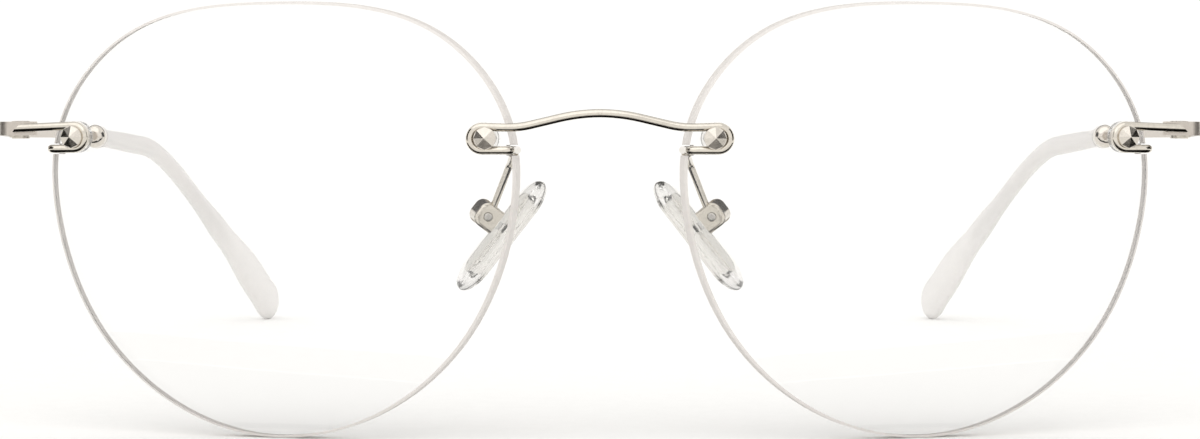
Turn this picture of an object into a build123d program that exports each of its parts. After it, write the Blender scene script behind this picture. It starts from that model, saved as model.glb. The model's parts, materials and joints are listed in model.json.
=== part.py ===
"""Rimless three-piece eyeglasses: two flat-curve lenses held by bent wire, faceted studs and sprung temples.

Wearer's left is +X, the temples run back along +Y and +Z is up. The glasses stand open on a table, on the
lens bottoms and the temple tips, and the origin is on the table under the middle of the whole object.
Everything is drawn once, for the wearer's left, in the wearing pose, then mirrored and set down level.
"""
import os
from math import atan2, cos, degrees, radians, sin, sqrt

from build123d import *

# ---------------------------------------------------------------- driving dimensions, mm and degrees
# Lenses
lens_width = 52.15
lens_height = 47.2
lens_gap = 17.5             # between the two nasal edges
lens_thickness = 2.6
lens_curve = 265.0          # radius of the front surface
lens_bevel = 0.28           # safety chamfer round both edges
face_wrap = 13.0            # each lens turned back towards the temple
face_tilt = 3.0             # lens top further forward than its bottom
rim_depth = 8.5             # middle of the rim, behind the bridge

# Wire, studs and the clear bushings they clamp
wire_diameter = 0.9
leg_spacing = 2.56          # between the two legs of each wire loop
hook_bend = 0.62            # bend radius where a leg turns back through the lens notch
hook_tail = 0.9             # wire left standing behind the lens
notch_clearance = 0.12
notch_depth = 0.75
stud_head_diameter = 2.4
stud_rim_height = 0.28
stud_point_height = 0.5
stud_facets = 8
stud_shank_diameter = 1.0
bushing_wall = 0.28
bushing_flange_thickness = 0.7
nasal_stud_height = 8.77    # above the lens middle
temporal_stud_height = 9.09
nasal_stud_inset = 2.61     # from the nasal edge of the lens
temporal_stud_inset = 2.72 # from the temporal edge
nasal_loop_shift = 0.42     # bend centre beyond the stud
temporal_loop_shift = 0.05

# Bridge
bridge_arch = 1.55          # rise of the arch over its low points
bridge_flat = 4.3           # width of the straight run at the top of the arch
bridge_top_radius = 17.5
bridge_low_radius = 11.0

# Nose pads, their boxes and arms
pad_length = 14.7
pad_width = 6.6
pad_thickness = 2.0
pad_edge_radius = 0.92
pad_inset = 1.9             # pad centre outward of the nasal lens edge
pad_back = 12.75            # and behind the bridge
pad_drop = 1.75             # and below the lens middle
pad_frontal = 38.0          # long axis away from vertical, top towards the nose
pad_splay = 18.0            # back edge outward
pad_plate = (3.6, 10.5, 0.7)
pad_plate_corner = 1.6
box_offset = 2.95           # screw axis to the middle of the pad
box_shift = 0.8             # screw axis above the pad centre
box_size = (3.0, 2.8, 2.6)  # along the screw, along the pad, away from the pad
box_sheet = 0.45
pad_screw_diameter = 0.6
pad_screw_head = 1.0
pad_head_seat = 0.18        # head let into the near ear
pad_head_dome = 0.22        # and standing proud of it
pad_barrel_diameter = 1.5
pad_arm_diameter = 0.78

# End pieces and hinges
strip_height = 1.5
strip_thickness = 0.8
strip_overhang = 5.84       # middle of the bracket strip outward of the lens edge
hinge_behind = 6.03         # hinge butt plane behind the temporal edge of the lens
wire_fall = 0.42            # end wire comes down by this much on its way to the bracket
hinge_lean = 3.0            # hinge axis, top forward
hinge_gap = 0.05            # between the two butt faces
knuckle_radius = 0.92
knuckle_height = 1.9        # whole stack of three knuckles
ear_height = 0.5
leaf_thickness = 0.5
front_leaf_length = 3.0
temple_leaf_length = 4.2
hinge_screw_diameter = 0.7
hinge_screw_head = 1.2
hinge_head_depth = 0.22
wire_sink = 0.2             # end wire let into the bracket strip
wire_end_slant = 48.0
end_wire_short = 1.3        # middle of the wire's slanted end, short of the bracket strip's corner

# Temples
strip_length = 52.6         # hinge to the front of the ferrule
ferrule_rise = 0.15         # and rises by this much
ferrule_inset = 4.4         # temple comes in by this much on the way there
ferrule_diameter = 2.85
ferrule_length = 2.1
core_diameter = 0.85
ear_bend = (4.3, 42.0, -1.0)       # in, back and up from the front of the ferrule
tip_bend = (12.8, 67.5, -15.1)
tip_end = (16.9, 77.0, -22.5)
bar_height = 1.0            # where the strip enters the ferrule
bar_taper = 22.0            # length over which it narrows to that
ear_bend_radius = 42.0
tip_bend_radius = 36.0
core_share = 0.78           # how far the metal core reaches into the sleeve
collar_length = 0.7

# Fits
running_clearance = 0.04    # radial, on pivots
side_clearance = 0.06       # each side of a turning knuckle
seat_clearance = 0.02       # parts laid against a curved lens

wire_radius = wire_diameter / 2
loop_radius = leg_spacing / 2
bridge_low = lens_gap / 2   # low points of the bridge, over the nasal edges
end_reach = lens_gap / 2 + lens_width * cos(radians(face_wrap)) + strip_overhang
hinge_back = rim_depth + lens_width / 2 * sin(radians(face_wrap)) + hinge_behind
hinge_rise = temporal_stud_height + loop_radius - wire_fall
pad_centre = (lens_gap / 2 + pad_inset, pad_back, -pad_drop)


# ---------------------------------------------------------------- lens and its mounting points
def lens_outline():
    """Rounded outline, widest above the middle and flat on top; fractions of the half width and half height."""
    side = [(0.466, -0.859), (0.79, -0.531), (0.977, -0.03), (0.969, 0.445), (0.686, 0.846)]
    round_trip = [(0, -1), *side, (0, 1), *[(-x, y) for x, y in reversed(side)]]
    loop = Spline(*[(x * lens_width / 2, y * lens_height / 2) for x, y in round_trip], periodic=True)
    return [loop.trim(0, 0.5), loop.trim(0.5, 1)]


def lens_half_width(height):
    """Distance from the lens axis to its edge at a height above the middle."""
    face = make_face(lens_outline())
    cut = face & Pos(0, height, 0) * Rectangle(2 * lens_width, 0.002)
    return cut.bounding_box().max.X


lens_middle_radius = lens_curve - lens_thickness / 2
lens_sag = lens_middle_radius - sqrt(lens_middle_radius ** 2 - (lens_width / 2) ** 2)
lens_side = Vector(cos(radians(face_wrap)), sin(radians(face_wrap)), 0)
lens_front = Vector(lens_side.Y * cos(radians(face_tilt)), -lens_side.X * cos(radians(face_tilt)),
                    -sin(radians(face_tilt)))
rim_centre = Vector((lens_gap / 2) + lens_width / 2 * lens_side.X, rim_depth, 0)
lens_plane = Plane(origin=rim_centre, x_dir=lens_side, z_dir=lens_front)
curve_centre_z = lens_sag - lens_middle_radius


def mount_plane(across, height, towards_edge):
    """Plane touching the lens front at a stud; x runs to the nearest edge and z out of the lens."""
    out = sqrt(lens_curve ** 2 - across ** 2 - height ** 2)
    point = lens_plane.from_local_coords(Vector(across, height, curve_centre_z + out))
    normal = point - lens_plane.from_local_coords(Vector(0, 0, curve_centre_z))
    tangent = lens_side * towards_edge
    flat = tangent - normal * (tangent.dot(normal) / normal.length ** 2)
    return Plane(origin=point, x_dir=flat, z_dir=normal)


nasal_reach = lens_half_width(nasal_stud_height) - nasal_stud_inset
temporal_reach = lens_half_width(temporal_stud_height) - temporal_stud_inset
nasal_mount = mount_plane(-nasal_reach, nasal_stud_height, -1)
temporal_mount = mount_plane(temporal_reach, temporal_stud_height, 1)
mount_up = {"nasal": -1, "temporal": 1}    # a plane turned to face the nose has its y pointing down
mounts = {"nasal": (nasal_mount, nasal_stud_inset, nasal_stud_height, nasal_loop_shift),
          "temporal": (temporal_mount, temporal_stud_inset, temporal_stud_height, temporal_loop_shift)}
wire_level = bushing_flange_thickness + wire_radius + seat_clearance
notch_height = wire_diameter + 2 * notch_clearance


def on_mount(name, x, y, z):
    """World point from a mount's own x (to the edge), y (up) and z (out of the lens)."""
    return mounts[name][0].from_local_coords(Vector(x, y * mount_up[name], z))


def edge_reach(name):
    """Distance from the stud to the lens edge, at the height of the lower leg."""
    _, inset, height, _ = mounts[name]
    return inset + lens_half_width(height - loop_radius) - lens_half_width(height)


def hook_points(name):
    """Upper leg corner, bend and hook of one wire loop, ending behind the lens."""
    turn = -(mounts[name][3] + loop_radius)
    notch = edge_reach(name) - notch_depth + notch_clearance + wire_radius
    behind = -(lens_thickness + hook_tail)
    return [on_mount(name, turn, loop_radius, wire_level), on_mount(name, turn, -loop_radius, wire_level),
            on_mount(name, notch, -loop_radius, wire_level), on_mount(name, notch, -loop_radius, behind)]


loop_radii = [loop_radius - 0.01, loop_radius - 0.01, hook_bend]


def round_wire(points, radii, diameter):
    """Round wire along straight runs joined by tangent bends."""
    path = FilletPolyline(*points, radius=radii)
    section = Plane(origin=path @ 0, z_dir=path % 0) * Circle(diameter / 2)
    return sweep(section, path=path)


def notch(name):
    """Slot in the lens edge that a hook passes through."""
    slot = Pos(edge_reach(name) - notch_depth + 2, -loop_radius * mount_up[name], 0) * Box(4, notch_height, 12)
    return mounts[name][0] * slot


def lens():
    depth = lens_sag + lens_thickness
    blank = extrude(Pos(0, 0, -depth) * make_face(lens_outline()), 2 * depth)
    ball = Pos(0, 0, curve_centre_z) * Rot(90, 0, 0)
    blank = (blank & ball * Sphere(lens_curve)) - ball * Sphere(lens_curve - lens_thickness)
    rim = [e for e in blank.edges() if e.length > lens_thickness * 2]
    body = lens_plane * chamfer(rim, lens_bevel)
    for name, (plane, *_) in mounts.items():
        body -= plane * Cylinder(stud_shank_diameter / 2 + bushing_wall, 12)
        body -= notch(name)
    return body


def bushing(name):
    """Clear flanged sleeve between the stud, the wire loop and the lens."""
    outer, bore = stud_shank_diameter / 2 + bushing_wall, stud_shank_diameter / 2
    barrel = lens_thickness - 0.05
    shape = Pos(0, 0, -barrel) * Cylinder(outer, barrel, align=(Align.CENTER, Align.CENTER, Align.MIN))
    flange = Cylinder(loop_radius + wire_radius, bushing_flange_thickness,
                      align=(Align.CENTER, Align.CENTER, Align.MIN))
    shape += Pos(-mounts[name][3], 0, 0) * flange
    shape -= Cylinder(bore, 4 * lens_thickness)
    return mounts[name][0] * shape


def stud(name):
    """Faceted stud: a low pyramid on a round rim, and the shank that is pressed into its bushing."""
    reach = lens_thickness - 0.1
    base = bushing_flange_thickness + wire_diameter + seat_clearance
    head_radius = stud_head_diameter / 2
    up = (Align.CENTER, Align.CENTER, Align.MIN)
    shank = Pos(0, 0, -reach) * Cylinder(stud_shank_diameter / 2, reach + base, align=up)
    rim = Pos(0, 0, base) * Cylinder(head_radius, stud_rim_height, align=up)
    foot = Plane.XY.offset(base + stud_rim_height) * RegularPolygon(head_radius, stud_facets)
    tip = Plane.XY.offset(base + stud_rim_height + stud_point_height) * RegularPolygon(0.06, stud_facets)
    return mounts[name][0] * (shank + rim + loft([foot, tip]))


# ---------------------------------------------------------------- bridge and end wires
def mirrored(point):
    return Vector(-point.X, point.Y, point.Z)


def bridge_points():
    """Left half of the bridge wire, from the top of the arch to the hook."""
    loop = hook_points("nasal")
    slope = lens_side.Y / lens_side.X
    low_x = nasal_mount.to_local_coords(loop[0]).X
    reach = (loop[0].X - bridge_low) / abs(nasal_mount.x_dir.X)
    low = on_mount("nasal", low_x + reach, loop_radius * 0.86, wire_level)
    top = Vector(bridge_flat / 2, low.Y - (low.X - bridge_flat / 2) * slope * 0.55, low.Z + bridge_arch)
    return [top, low, *loop]


def bridge_wire():
    half = bridge_points()
    points = [mirrored(p) for p in reversed(half)] + half
    radii = [bridge_top_radius, bridge_low_radius, *loop_radii]
    return round_wire(points, [*reversed(radii), *radii], wire_diameter)


wire_run = temporal_mount.x_dir


def end_wire_points():
    loop = hook_points("temporal")
    start = loop[0]
    run = (end_reach - end_wire_short - start.X) / wire_run.X
    end = Vector(start.X + run * wire_run.X, start.Y + run * wire_run.Y, hinge_rise)
    return [end, *loop]


def end_wire():
    """Temporal wire: hook, bend and the leg that runs out to the bracket, its end cut at a slant."""
    points = end_wire_points()
    wire = round_wire(points, loop_radii, wire_diameter)
    cut = Plane(origin=points[0] - wire_run * wire_radius, x_dir=wire_run, z_dir=(0, 0, 1))
    return wire - cut * Rot(0, -wire_end_slant, 0) * Pos(1.5, 0, 0) * Box(3, 6, 8)


def bracket_points():
    """Plan route of the strip: behind the wire end, round the corner and back to the hinge."""
    end = end_wire_points()[0]
    level = hinge_rise
    behind = wire_radius + strip_thickness / 2 - wire_sink
    back = Vector(-wire_run.Y, wire_run.X, 0).normalized() * behind
    start = end + back - wire_run * 2.4
    run = (end_reach - start.X) / wire_run.X
    corner = start + wire_run * run
    return [Vector(p.X, p.Y, level) for p in (start, corner, Vector(end_reach, hinge_back + 1, level))]


def strip(points, radii):
    """Flat strip on edge, following a route."""
    path = FilletPolyline(*points, radius=radii)
    section = Plane(origin=path @ 0, x_dir=(0, 0, 1), z_dir=path % 0) * Rectangle(strip_height, strip_thickness)
    return sweep(section, path=path)


# ---------------------------------------------------------------- hinge
knuckle_offset = strip_thickness / 2 + 1.0
hinge_plane = Plane(origin=(end_reach - knuckle_offset, hinge_back, hinge_rise), x_dir=(1, 0, 0),
                    z_dir=(0, -sin(radians(hinge_lean)), cos(radians(hinge_lean))))
plate_face = knuckle_offset - strip_thickness / 2
centre_knuckle = knuckle_height - 2 * ear_height - 2 * side_clearance


def half_space(side):
    """Everything in front of (-1) or behind (1) the hinge butt plane, in the hinge's own frame."""
    size = 400
    return hinge_plane * Pos(0, side * (size / 2 + hinge_gap), 0) * Box(size, size, size)


def knuckle(height, level, side):
    """Disc round the screw, with the web that ties it to the leaf plate."""
    disc = Pos(0, 0, level) * Cylinder(knuckle_radius, height)
    web = Pos(plate_face / 2, side * knuckle_radius / 2, level) * Box(plate_face, knuckle_radius, height)
    return disc + web - Pos(plate_face + 5, 0, 0) * Box(10, 10, 10)


def leaf_plate(length, side):
    return Pos(plate_face - leaf_thickness / 2, side * (hinge_gap + length / 2), 0) * Box(
        leaf_thickness, length, strip_height)


def knuckle_room(height, level):
    """Space swept by the other leaf's knuckle."""
    return Pos(0, 0, level) * Cylinder(knuckle_radius + side_clearance, height + 2 * side_clearance)


ear_level = (knuckle_height - ear_height) / 2


def hinge_front_leaf():
    shape = leaf_plate(front_leaf_length, -1) - knuckle_room(centre_knuckle, 0)
    for level in (-ear_level, ear_level):
        shape += knuckle(ear_height, level, -1)
    shape -= Cylinder(hinge_screw_diameter / 2, 2 * knuckle_height)
    seat_radius = hinge_screw_head / 2 + running_clearance
    head = Pos(0, 0, knuckle_height / 2) * Cylinder(seat_radius, 2 * hinge_head_depth)
    return hinge_plane * (shape - head)


def hinge_temple_leaf():
    shape = leaf_plate(temple_leaf_length, 1)
    for level in (-ear_level, ear_level):
        shape -= knuckle_room(ear_height, level)
    shape += knuckle(centre_knuckle, 0, 1)
    return hinge_plane * (shape - Cylinder(hinge_screw_diameter / 2 + running_clearance, 2 * knuckle_height))


def hinge_screw():
    bottom = -knuckle_height / 2
    up = (Align.CENTER, Align.CENTER, Align.MIN)
    head_seat = knuckle_height / 2 - hinge_head_depth
    shank = Pos(0, 0, bottom) * Cylinder(hinge_screw_diameter / 2, head_seat - bottom, align=up)
    head = Pos(0, 0, head_seat) * Cylinder(hinge_screw_head / 2, hinge_head_depth, align=up)
    slot = Pos(0, 0, knuckle_height / 2) * Box(2 * hinge_screw_head, 0.22, 0.2)
    return hinge_plane * (shank + head - slot)


def end_bracket():
    """Flat strip from the wire end to the hinge, grooved where the wire is brazed on."""
    points = bracket_points()
    return (strip(points, [1.0]) & half_space(-1)) - end_wire()


# ---------------------------------------------------------------- temple
ferrule_point = Vector(end_reach - ferrule_inset, hinge_back + strip_length, hinge_rise + ferrule_rise)
bend_start = Vector(end_reach, hinge_back + 6.5, hinge_rise)


def from_ferrule(inward, back, rise):
    return ferrule_point + Vector(-inward, back, rise)


sleeve_corners = [from_ferrule(*corner) for corner in (ear_bend, tip_bend, tip_end)]
sleeve_path = FilletPolyline(ferrule_point, *sleeve_corners, radius=[ear_bend_radius, tip_bend_radius])
sleeve_start = collar_length + ferrule_length


def sleeve_size(share):
    """Width and height of the sleeve at a share of its length: slim neck, then a flat paddle."""
    stations = [(0.0, 2.0, 2.1), (0.3, 2.0, 2.35), (0.5, 1.8, 2.4), (0.64, 1.65, 2.5),
                (0.78, 1.95, 3.6), (0.9, 2.4, 5.1), (1.0, 2.5, 5.4)]
    for (a, wide_a, tall_a), (b, wide_b, tall_b) in zip(stations, stations[1:]):
        if share <= b:
            blend = (share - a) / (b - a)
            blend = blend * blend * (3 - 2 * blend)
            return wide_a + (wide_b - wide_a) * blend, tall_a + (tall_b - tall_a) * blend
    return stations[-1][1:]


def sleeve_section(distance):
    share = distance / sleeve_path.length
    wide, tall = sleeve_size(share)
    left = sleeve_path.length - distance
    cap = 3.2
    if left < cap:
        close = sqrt(max(1 - (1 - left / cap) ** 2, 0))
        wide, tall = wide * close, tall * close
    along = sleeve_path % share
    level = Vector(along.Y, -along.X, 0)
    return Plane(origin=sleeve_path @ share, x_dir=level, z_dir=along) * Ellipse(wide / 2, tall / 2)


def core():
    """Round core wire that carries on from the strip, inside the ferrule and sleeve."""
    path = sleeve_path.trim(0, core_share)
    return sweep(Plane(origin=path @ 0, z_dir=path % 0) * Circle(core_diameter / 2), path=path)


def temple_bar():
    """Flat strip from the hinge, tapering to the ferrule, then the core wire inside the sleeve."""
    along = (ferrule_point - bend_start).normalized()
    stations = [(Vector(end_reach, hinge_back - 1, hinge_rise), Vector(0, 1, 0), strip_height),
                (bend_start, Vector(0, 1, 0) + along, strip_height),
                (bend_start + along * bar_taper, along, bar_height),
                (ferrule_point + along * 0.6, along, bar_height)]
    sections = [Plane(origin=at, x_dir=(0, 0, 1), z_dir=along) * Rectangle(tall, strip_thickness)
                for at, along, tall in stations]
    return (loft(sections, ruled=True) & half_space(1)) + core()


def ferrule_plane():
    return Plane(origin=ferrule_point, z_dir=sleeve_path % 0)


def ferrule():
    """Domed metal collar on the temple where the sleeve begins."""
    radius = ferrule_diameter / 2
    up = (Align.CENTER, Align.CENTER, Align.MIN)
    body = Cylinder(radius, ferrule_length, align=up)
    body = fillet(body.faces().sort_by(Axis.Z)[0].edges(), 0.9)
    body = fillet(body.faces().sort_by(Axis.Z)[-1].edges(), 0.25)
    return ferrule_plane() * body


def sleeve():
    """Soft temple tip: collar, neck and paddle."""
    length = sleeve_path.length
    body_start = sleeve_start - 0.3
    count = 22
    stations = [body_start + (length - 3.2 - body_start) * i / count for i in range(count + 1)]
    stations += [length - 3.2 + 3.2 * s for s in (0.35, 0.62, 0.82, 0.94, 0.99)]
    body = loft([sleeve_section(s) for s in stations])
    up = (Align.CENTER, Align.CENTER, Align.MIN)
    collar = Pos(0, 0, ferrule_length) * Cylinder(ferrule_diameter / 2, collar_length, align=up)
    collar = fillet(collar.faces().sort_by(Axis.Z)[-1].edges(), 0.3)
    return ferrule_plane() * collar + body


# ---------------------------------------------------------------- nose pads
frontal, splay = radians(pad_frontal), radians(pad_splay)
pad_across = Vector(sin(splay) * cos(frontal), cos(splay), sin(splay) * sin(frontal))
pad_along = Vector(-sin(frontal), 0, cos(frontal))
pad_plane = Plane(origin=pad_centre, x_dir=pad_across, z_dir=pad_across.cross(pad_along))
screw_point = Vector(0, box_shift, box_offset)
screw_axis = Rot(0, 90, 0)


def pad_mount():
    """Insert moulded inside the pad, with the neck and barrel that the pad screw goes through."""
    wide, tall, thick = pad_plate
    plate = extrude(RectangleRounded(wide, tall, pad_plate_corner), thick / 2, both=True)
    barrel_width = box_size[0] - 2 * box_sheet - 2 * side_clearance
    barrel = Pos(*screw_point) * screw_axis * Cylinder(pad_barrel_diameter / 2, barrel_width)
    neck = Pos(0, box_shift, box_offset / 2) * Box(barrel_width, 0.9, box_offset)
    bore = Pos(*screw_point) * screw_axis * Cylinder(pad_screw_diameter / 2 + running_clearance, 10)
    return pad_plane * (plate + barrel + neck - bore)


def nose_pad():
    """Silicone pad, oval and rounded all over, moulded round its insert."""
    body = extrude(SlotOverall(pad_length, pad_width, rotation=90), pad_thickness / 2, both=True)
    body = fillet(body.faces().sort_by(Axis.Z)[0].edges(), pad_edge_radius)
    body = fillet(body.faces().sort_by(Axis.Z)[-1].edges(), pad_edge_radius)
    return pad_plane * body - pad_mount()


def pad_box():
    """Bent sheet clamp: two ears across the screw and a rounded wall away from the pad."""
    wide, tall, deep = box_size
    outer = fillet(Box(wide, tall, deep).edges().filter_by(Axis.X).sort_by(Axis.Z)[-2:], 1.0)
    outer = fillet(outer.edges().filter_by(Axis.Y).sort_by(Axis.Z)[-2:], 0.35)
    room = Pos(0, 0, -box_sheet) * Box(wide - 2 * box_sheet, 2 * tall, deep)
    hole = screw_axis * Cylinder(pad_screw_diameter / 2, 2 * wide)
    seat_radius = pad_screw_head / 2 + running_clearance
    near = Pos(-wide / 2, 0, 0) * screw_axis * Cylinder(seat_radius, 2 * pad_head_seat)
    return pad_plane * Pos(*screw_point) * (outer - room - hole - near)


def pad_screw():
    """Screw along the box, its domed head seated in the near ear."""
    wide = box_size[0]
    shank = screw_axis * Cylinder(pad_screw_diameter / 2, wide)
    head = Cylinder(pad_screw_head / 2, pad_head_seat + pad_head_dome)
    head = fillet(head.faces().sort_by(Axis.Z)[0].edges(), pad_head_dome)
    head = Pos(-wide / 2 + (pad_head_seat - pad_head_dome) / 2, 0, 0) * screw_axis * head
    return pad_plane * Pos(*screw_point) * (shank + head)


def pad_arm():
    """Arm brazed to the hook behind the lens and to the near ear of the pad box."""
    hook = hook_points("nasal")
    back = hook[3] - hook[2]
    start = hook[3] - back.normalized() * 0.35 + Vector(0.25, 0, -0.45)
    wide, tall, _ = box_size
    top = pad_plane.from_local_coords(screw_point + Vector(-wide / 2 + 0.55, tall / 2 - 0.1, 0.1))
    bend = start + Vector(0.3, 3.4, -0.9)
    wire = round_wire([start, bend, top], [1.6], pad_arm_diameter)
    return wire - bridge_wire() - pad_box()


# ---------------------------------------------------------------- assembly
left_parts = {
    "lens": lens(), "stud_nasal": stud("nasal"), "stud_temporal": stud("temporal"),
    "bushing_nasal": bushing("nasal"), "bushing_temporal": bushing("temporal"),
    "end_wire": end_wire(), "end_bracket": end_bracket(), "hinge_front_leaf": hinge_front_leaf(),
    "hinge_screw": hinge_screw(), "hinge_temple_leaf": hinge_temple_leaf(), "temple_bar": temple_bar(),
    "ferrule": ferrule(), "tip_sleeve": sleeve(), "pad_arm": pad_arm(), "pad_box": pad_box(),
    "pad_screw": pad_screw(), "pad_mount": pad_mount(), "nose_pad": nose_pad(),
}
left_parts["ferrule"] -= left_parts["temple_bar"]
left_parts["tip_sleeve"] -= left_parts["temple_bar"]

parts = {"bridge_wire": bridge_wire()}
for name, shape in left_parts.items():
    parts[f"{name}_left"] = shape
    parts[f"{name}_right"] = mirror(shape, about=Plane.YZ)


def lowest(shape, turn):
    """Lowest level of a shape after leaning the glasses back by some angle."""
    return (Rot(-turn, 0, 0) * shape).bounding_box().min.Z


lean = 0.0
for _ in range(6):
    drop = lowest(left_parts["tip_sleeve"], lean) - lowest(left_parts["lens"], lean)
    lean += degrees(atan2(drop, sleeve_corners[-1].Y - rim_depth))
level = Rot(-lean, 0, 0)
whole = Compound(children=[level * shape for shape in parts.values()]).bounding_box()
stand = Pos(0, -whole.center().Y, -whole.min.Z) * level

os.makedirs("parts", exist_ok=True)
for name, shape in parts.items():
    export_step(stand * shape, f"parts/{name}.step")

axis_on_table = {
    "temple fold": (stand * hinge_plane.location, "Z"),
    "pad rock": (stand * pad_plane.location * Pos(*screw_point), "X"),
}
for name, (place, along) in axis_on_table.items():
    frame_here = Plane(place)
    direction = frame_here.z_dir if along == "Z" else frame_here.x_dir
    print(name, "left at", tuple(round(v, 4) for v in frame_here.origin), "along",
          tuple(round(v, 6) for v in direction))
print("lean", round(lean, 3), "size", whole.size)
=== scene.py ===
"""Rimless three-piece eyeglasses standing open on a pale sweep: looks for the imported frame."""
import json
from math import cos, pi, radians, sin

import bmesh
import bpy
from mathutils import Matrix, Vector


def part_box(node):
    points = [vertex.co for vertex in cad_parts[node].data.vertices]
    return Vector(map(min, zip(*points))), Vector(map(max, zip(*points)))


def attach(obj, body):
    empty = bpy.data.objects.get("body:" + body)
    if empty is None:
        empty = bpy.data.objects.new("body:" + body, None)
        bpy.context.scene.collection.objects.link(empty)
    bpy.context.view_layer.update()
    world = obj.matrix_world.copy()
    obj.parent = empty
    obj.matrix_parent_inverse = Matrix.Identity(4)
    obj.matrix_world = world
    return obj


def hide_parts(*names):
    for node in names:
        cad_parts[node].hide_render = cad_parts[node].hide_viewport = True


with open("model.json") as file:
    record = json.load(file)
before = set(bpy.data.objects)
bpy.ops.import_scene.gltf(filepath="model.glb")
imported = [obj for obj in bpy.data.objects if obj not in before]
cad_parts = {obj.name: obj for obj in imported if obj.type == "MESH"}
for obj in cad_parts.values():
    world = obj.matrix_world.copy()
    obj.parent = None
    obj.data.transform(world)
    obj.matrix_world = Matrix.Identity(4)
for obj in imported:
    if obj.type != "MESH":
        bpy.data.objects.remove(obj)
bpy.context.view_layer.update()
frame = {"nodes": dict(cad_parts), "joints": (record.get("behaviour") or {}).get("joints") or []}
nodes = frame["nodes"]
MM = 0.001
SIDES = {"left": 1, "right": -1}        # which way along x each side lies
LEAN = radians(4.204)                   # how far the wearing line looks down as the glasses stand

# ---------------------------------------------------------------- shared helpers
WEAR_SPAN = 6                           # worn and fresh patches, in grains
WEAR_SHARE = 0.35                       # how much of the mixed pattern they are
GRAIN_FROM, GRAIN_TO = 0.3, 0.7         # spread of the mixed pattern, laid over the roughness range
TONE_FROM, TONE_TO = 0.35, 0.65         # a little narrower, so that both tones are reached


def linear(code):
    """Linear colour from an sRGB hex code."""
    parts = [int(code[i:i + 2], 16) / 255 for i in (0, 2, 4)]
    return (*[c / 12.92 if c <= 0.04045 else ((c + 0.055) / 1.055) ** 2.4 for c in parts], 1.0)


def add(tree, kind, settings=None, links=None):
    """Adds one node, gives it its settings and joins its inputs to other nodes' outputs."""
    made = tree.nodes.new("ShaderNode" + kind)
    for name, value in (settings or {}).items():
        if name in made.inputs:
            made.inputs[name].default_value = value
        else:
            setattr(made, name, value)
    for name, source in (links or {}).items():
        tree.links.new(source, made.inputs[name])
    return made


def bare_tree(owner):
    """Node tree of a material or world, emptied."""
    owner.use_nodes = True
    owner.node_tree.nodes.clear()
    return owner.node_tree


def two_tone(ramp, low, high, start, end):
    """Sets a colour ramp's two ends."""
    for stop, code, where in zip(ramp.elements, (low, high), (start, end)):
        stop.color, stop.position = linear(code), where


def finish_of(name, principled, grain_mm, stretch=(1, 1, 1), bump_mm=0.0, rough=(0.1, 0.2), tones=None):
    """A surface whose roughness, height and tone follow one grain of a real size."""
    made = bpy.data.materials.new(name)
    tree = bare_tree(made)
    place = add(tree, "TexCoord")
    scaled = add(tree, "Mapping", {"Scale": stretch}, {"Vector": place.outputs["Object"]})
    grain = add(tree, "TexNoise", {"Scale": 1 / (grain_mm * MM), "Detail": 4.0, "Roughness": 0.6},
                {"Vector": scaled.outputs["Vector"]})
    wear = add(tree, "TexNoise", {"Scale": 1 / (WEAR_SPAN * grain_mm * MM), "Detail": 3.0},
               {"Vector": place.outputs["Object"]})
    both = add(tree, "Mix", {"data_type": "FLOAT", "Factor": WEAR_SHARE},
               {"A": grain.outputs["Fac"], "B": wear.outputs["Fac"]})
    haze = add(tree, "MapRange",
               {"From Min": GRAIN_FROM, "From Max": GRAIN_TO, "To Min": rough[0], "To Max": rough[1]},
               {"Value": both.outputs["Result"]})
    links = {"Roughness": haze.outputs["Result"]}
    if tones:
        tone = add(tree, "ValToRGB", {}, {"Fac": both.outputs["Result"]})
        two_tone(tone.color_ramp, *tones, TONE_FROM, TONE_TO)
        links["Base Color"] = tone.outputs["Color"]
    if bump_mm:
        height = add(tree, "Bump", {"Strength": 1.0, "Distance": bump_mm * MM},
                     {"Height": grain.outputs["Fac"]})
        links["Normal"] = height.outputs["Normal"]
    surface = add(tree, "BsdfPrincipled", principled, links)
    add(tree, "OutputMaterial", {}, {"Surface": surface.outputs["BSDF"]})
    return made


def glow_of(name, code):
    """An evenly lit surface for a studio card."""
    made = bpy.data.materials.new(name)
    tree = bare_tree(made)
    glow = add(tree, "Emission", {"Color": linear(code), "Strength": 1.0})
    add(tree, "OutputMaterial", {}, {"Surface": glow.outputs["Emission"]})
    return made


def into_scene(name, data):
    """A new object of this data, in the scene."""
    made = bpy.data.objects.new(name, data)
    bpy.context.scene.collection.objects.link(made)
    return made


def smooth_piece(name, shape, look):
    """Turns a closed bmesh into a smooth piece with one finish."""
    bmesh.ops.recalc_face_normals(shape, faces=shape.faces)
    mesh = bpy.data.meshes.new(name)
    shape.to_mesh(mesh)
    shape.free()
    mesh.polygons.foreach_set("use_smooth", [True] * len(mesh.polygons))
    mesh.materials.append(look)
    return into_scene(name, mesh)


def flat_card(name, width, depth, look):
    """A flat rectangle round the origin, for the floor and the studio cards."""
    mesh = bpy.data.meshes.new(name)
    x, y = width / 2, depth / 2
    mesh.from_pydata([(-x, -y, 0), (x, -y, 0), (x, y, 0), (-x, y, 0)], [], [(0, 1, 2, 3)])
    mesh.materials.append(look)
    made = into_scene(name, mesh)
    return made


# ---------------------------------------------------------------- finishes
# Grain sizes are in millimetres. Real polishing haze and moulding haze are finer than these: they are drawn
# as coarse as they need to be to show.

# Nickel-plated wire, drawn and polished: a bright, slightly warm mirror with a faint haze.
polished_wire = finish_of("polished_nickel_wire", {"Metallic": 1.0}, 0.35, rough=(0.06, 0.13),
                          tones=("D0CAC0", "E0DACF"))
# Stud turned and cut with flat facets, then plated: bright planes that still show fine cutting marks.
cut_stud = finish_of("facet_cut_nickel_stud", {"Metallic": 1.0}, 0.12, bump_mm=0.004, rough=(0.14, 0.3),
                     tones=("CFC9C0", "E2DCD3"))
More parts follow.
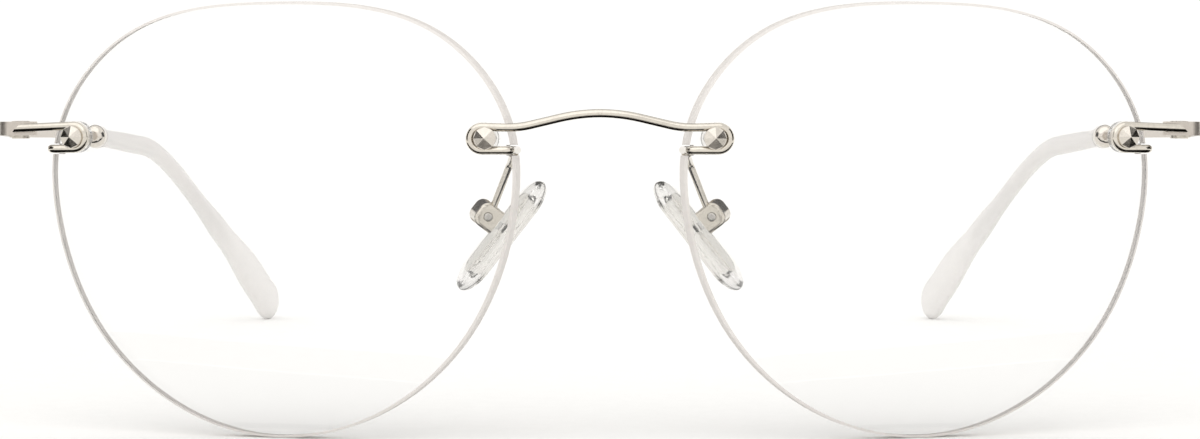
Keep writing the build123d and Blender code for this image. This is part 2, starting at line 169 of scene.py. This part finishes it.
# Spring strip rolled and satin brushed along its length: a soft beige grey without sharp reflections.
satin_strip = finish_of("satin_spring_strip", {"Metallic": 1.0}, 0.06, stretch=(1, 0.04, 1), bump_mm=0.003,
                        rough=(0.3, 0.46), tones=("CBC3BA", "DDD6CD"))
# Hinge leaves stamped from nickel silver and tumbled: softly rounded shine, small dull patches.
tumbled_leaf = finish_of("tumbled_nickel_silver", {"Metallic": 1.0}, 0.2, bump_mm=0.002, rough=(0.18, 0.34),
                         tones=("C6C0B6", "D8D2C8"))
# Stainless screws, turned: a little darker and cooler than the plating round them.
turned_screw = finish_of("turned_stainless_screw", {"Metallic": 1.0}, 0.08, bump_mm=0.002, rough=(0.16, 0.3),
                         tones=("B9B6B1", "CFCCC7"))
# Ferrule turned and polished: a clear domed mirror.
polished_ferrule = finish_of("polished_ferrule", {"Metallic": 1.0}, 0.5, rough=(0.08, 0.16),
                             tones=("D5CFC6", "E3DDD4"))
# Pad box bent from nickel silver sheet and polished: slight ripple from the bending.
pressed_sheet = finish_of("pressed_polished_sheet", {"Metallic": 1.0}, 0.6, bump_mm=0.006, rough=(0.08, 0.16),
                          tones=("C4BEB3", "D8D2C7"))
# Cast lens resin with a hard coat: water clear, with only thin reflections.
clear_lens = finish_of("cast_lens_resin",
                       {"Base Color": linear("FFFFFF"), "Transmission Weight": 1.0, "IOR": 1.5},
                       8.0, rough=(0.0, 0.01))
# Lens rim, ground on a wheel and left matt: a warm grey frosted band with fine lines in it.
ground_edge = finish_of("wheel_ground_edge",
                        {"Transmission Weight": 0.3, "Specular IOR Level": 0.25, "IOR": 1.5},
                        0.12, bump_mm=0.01, rough=(0.5, 0.7), tones=("E0DBD7", "EBE7E3"))
# Bushings moulded from clear polycarbonate: glassy, with a slight moulding haze.
clear_bushing = finish_of("clear_polycarbonate",
                          {"Base Color": linear("FBFAF8"), "Transmission Weight": 1.0, "IOR": 1.585},
                          0.3, rough=(0.05, 0.14))
# Temple tips moulded from milky cellulose propionate: frosted, translucent, the core just showing inside.
frosted_tip = finish_of("frosted_propionate_tip",
                        {"Transmission Weight": 0.3, "IOR": 1.47, "Specular IOR Level": 0.3},
                        0.25, bump_mm=0.004, rough=(0.35, 0.5), tones=("F4F2F0", "FAF8F6"))
# Nose pads moulded from clear silicone: soft gloss and a faint warm grey in the depth.
clear_silicone = finish_of("clear_silicone_pad", {"Transmission Weight": 0.94, "IOR": 1.41},
                           0.4, bump_mm=0.004, rough=(0.03, 0.1), tones=("F6F5F3", "FDFCFA"))
# Pad insert moulded from clear polycarbonate: sharp bright lines where it lies inside the pad.
clear_insert = finish_of("clear_insert",
                         {"Base Color": linear("F2F1EE"), "Transmission Weight": 1.0, "IOR": 1.585},
                         0.3, rough=(0.04, 0.1))
# Seamless paper: matt, nearly white.
paper = finish_of("seamless_paper", {"Specular IOR Level": 0.0}, 0.4, rough=(0.85, 0.95),
                  tones=("F4F4F3", "F8F8F7"))

finishes = {
    "bridge_wire": polished_wire, "end_wire": polished_wire, "pad_arm": polished_wire, "stud": cut_stud,
    "end_bracket": satin_strip, "temple_bar": satin_strip, "hinge_front": tumbled_leaf,
    "hinge_temple": tumbled_leaf, "hinge_screw": turned_screw, "pad_screw": turned_screw,
    "ferrule": polished_ferrule, "pad_box": pressed_sheet, "lens": clear_lens, "bushing": clear_bushing,
    "tip_sleeve": frosted_tip, "pad_mount": clear_insert, "nose_pad": clear_silicone,
}
for name, node in nodes.items():
    node.data.materials.clear()
    node.data.materials.append(next(look for start, look in finishes.items() if name.startswith(start)))

# ---------------------------------------------------------------- lens rims
LENS_FACE = 0.8        # how squarely a face looks along the lens axis before it counts as polished
for side in SIDES:
    mesh = nodes[f"lens_{side}"].data
    mesh.materials.append(ground_edge)
    front_faces = (p.normal * p.area for p in mesh.polygons if p.normal.y < -LENS_FACE)
    axis = sum(front_faces, Vector()).normalized()
    for face in mesh.polygons:
        face.material_index = int(abs(face.normal.dot(axis)) < LENS_FACE)

# ---------------------------------------------------------------- nose pads
PAD_TURN = radians(38)             # long axis away from upright, top towards the nose
PAD_SPINE = 4.03                   # half the straight run, mm
PAD_RADIUS, PAD_HALF = 3.27, 0.98  # end radius and half thickness, mm
PAD_SEAM = 0.03                    # how far the moulding seam stands proud, mm
PAD_EDGE = 2.5                     # squareness of the edge: 2 is an ellipse
PAD_CROWN, PAD_BACK = 2.0, 2.6     # the same for the domed nose side and for the flatter back
PAD_STEPS, PAD_ROUND = 15, 96      # rings on each side of the seam, points round each
PAD_REACH = radians(80)            # where the last ring closes


def pad_ring(turn, squareness):
    """Distance from the pad's spine and height above its middle, at an angle from the parting line."""
    out, up = abs(cos(turn)) ** (2 / PAD_EDGE), abs(sin(turn)) ** (2 / squareness)
    seam = PAD_SEAM if turn == 0 else 0.0
    return PAD_RADIUS * out + seam, (1 if turn > 0 else -1) * PAD_HALF * up


def silicone_pad(side, across):
    """Silicone pad: a stadium outline, domed on the nose side, flatter on the back, with a moulding seam."""
    low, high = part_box("nose_pad_left")
    centre = (low + high) / 2
    hinge = next(j for j in frame["joints"] if j["name"] == "pad_rock_left")
    wide = Vector(hinge["axis"]).normalized()
    along = Vector((-sin(PAD_TURN), cos(PAD_TURN) * sin(LEAN), cos(PAD_TURN) * cos(LEAN)))
    out = wide.cross(along).normalized()
    along = out.cross(wide)
    shape = bmesh.new()
    rings = []
    for step in range(-PAD_STEPS, PAD_STEPS + 1):
        turn = step / PAD_STEPS * PAD_REACH
        radius, height = pad_ring(turn, PAD_CROWN if turn < 0 else PAD_BACK)
        ring = []
        for k in range(PAD_ROUND):
            angle = 2 * pi * k / PAD_ROUND
            x, y = radius * cos(angle), radius * sin(angle)
            if k % (PAD_ROUND // 2):                    # the two points on the width line stay on it
                y += PAD_SPINE if k < PAD_ROUND // 2 else -PAD_SPINE
            place = centre + (wide * x + along * y + out * height) * MM
            ring.append(shape.verts.new((place.x * across, place.y, place.z)))
        rings.append(ring)
    for lower, upper in zip(rings, rings[1:]):
        for k in range(PAD_ROUND):
            turn_on = (k + 1) % PAD_ROUND
            shape.faces.new((lower[k], lower[turn_on], upper[turn_on], upper[k]))
    shape.faces.new(rings[0])
    shape.faces.new(rings[-1])
    pad = smooth_piece(f"silicone_pad_{side}", shape, clear_silicone)
    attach(pad, f"pad_{side}")
    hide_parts(f"nose_pad_{side}")


for side, across in SIDES.items():
    silicone_pad(side, across)

# ---------------------------------------------------------------- brazed joints of the pad arms
BEAD_RADII = Vector((0.5, 0.55, 0.42)) * MM
BEAD_OFFSET = Vector((0.38, 0.55, -0.2)) * MM   # from the arm's inner, front, top corner
BEAD_WAVE = 0.07       # how far the metal that ran round a joint leaves a smooth drop, share of its radius
BEAD_SLUMP = 0.25      # how much narrower the drop is at its top


def braze_bead(side, across, place):
    """Metal that flowed round a brazed joint: a drop slumped to one side, with a slightly uneven skin."""
    shape = bmesh.new()
    bmesh.ops.create_icosphere(shape, subdivisions=4, radius=1.0)
    middle = Vector((place.x * across, place.y, place.z))
    for vert in shape.verts:
        x, y, z = vert.co
        swell = 1 + BEAD_WAVE * (sin(5 * x + 2 * z) * cos(4 * y) + 0.5 * sin(9 * z + 3 * x))
        slump = 1 - BEAD_SLUMP * max(z, 0)
        drop = BEAD_RADII * Vector((x * slump * across, y * slump, z))
        vert.co = middle + drop * swell
    bead = smooth_piece(f"braze_hook_{side}", shape, polished_wire)
    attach(bead, "front")


arm_low, arm_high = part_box("pad_arm_left")
hook_joint = Vector((arm_low.x, arm_low.y, arm_high.z)) + BEAD_OFFSET
for side, across in SIDES.items():
    braze_bead(side, across, hook_joint)

# ---------------------------------------------------------------- camera
VIEW_CENTRE = Vector((0, -74.287, 24.239)) * MM     # half way up the glasses, as far forward as the bridge
DISTANCE = 0.55                                     # m
camera = into_scene("camera", bpy.data.cameras.new("camera"))
camera.location = VIEW_CENTRE + Vector((0, -cos(LEAN), sin(LEAN))) * DISTANCE
camera.rotation_euler = (pi / 2 - LEAN, 0, 0)
camera.data.lens, camera.data.sensor_width = 154.6, 36.0
camera.data.clip_start, camera.data.clip_end = 0.01, 50.0
bpy.context.scene.camera = camera

# ---------------------------------------------------------------- floor and studio cards
FLOOR_SIDE = 12.0                               # m
SIDE_CARD = (0.4, 0.3)                          # of the cards at the two sides, m
flat_card("floor", FLOOR_SIDE, FLOOR_SIDE, paper)

# Only reflections see the cards: they give the polished metal and the clear pads their dark lines.
LYING, TIPPED, UPRIGHT = (0, 0, 0), (pi / 2 - 0.5, 0, 0), (pi / 2, 0, pi / 2)
CARDS = (
    ("black_card_below", (0.26, 0.062), (0, -0.066, 0.001), LYING, "0E0D0C"),
    ("grey_card_front", (0.26, 0.02), (0, -0.108, 0.001), LYING, "8F8C89"),
    ("grey_card_behind", (1.6, 0.9), (0, 0.9, 0.62), TIPPED, "45423F"),
    ("black_card_left", SIDE_CARD, (-0.34, -0.05, 0.13), UPRIGHT, "1E1C1A"),
    ("black_card_right", SIDE_CARD, (0.34, -0.05, 0.13), UPRIGHT, "1E1C1A"),
)
for name, size, place, turn, code in CARDS:
    made = flat_card(name, *size, glow_of(name, code))
    made.location, made.rotation_euler = place, turn
    made.visible_camera = made.visible_diffuse = made.visible_transmission = made.visible_shadow = False

# ---------------------------------------------------------------- light
# A white dome that is a little greyer towards the top, and one very broad softbox from above.
sky = bpy.data.worlds.new("studio")
bpy.context.scene.world = sky
dome = bare_tree(sky)
way = add(dome, "TexCoord")
rise = add(dome, "SeparateXYZ", {}, {"Vector": way.outputs["Generated"]})
fade = add(dome, "ValToRGB", {}, {"Fac": rise.outputs["Z"]})
two_tone(fade.color_ramp, "FFFDFB", "F2F1EF", 0.25, 0.9)
white = add(dome, "Background", {"Strength": 1.08}, {"Color": fade.outputs["Color"]})
add(dome, "OutputWorld", {}, {"Surface": white.outputs["Background"]})

softbox = into_scene("broad_softbox", bpy.data.lights.new("broad_softbox", "SUN"))
softbox.data.energy, softbox.data.angle = 0.55, radians(70)
softbox.rotation_euler = (radians(30), radians(-12), 0)

bpy.context.scene.view_settings.view_transform = "Standard"
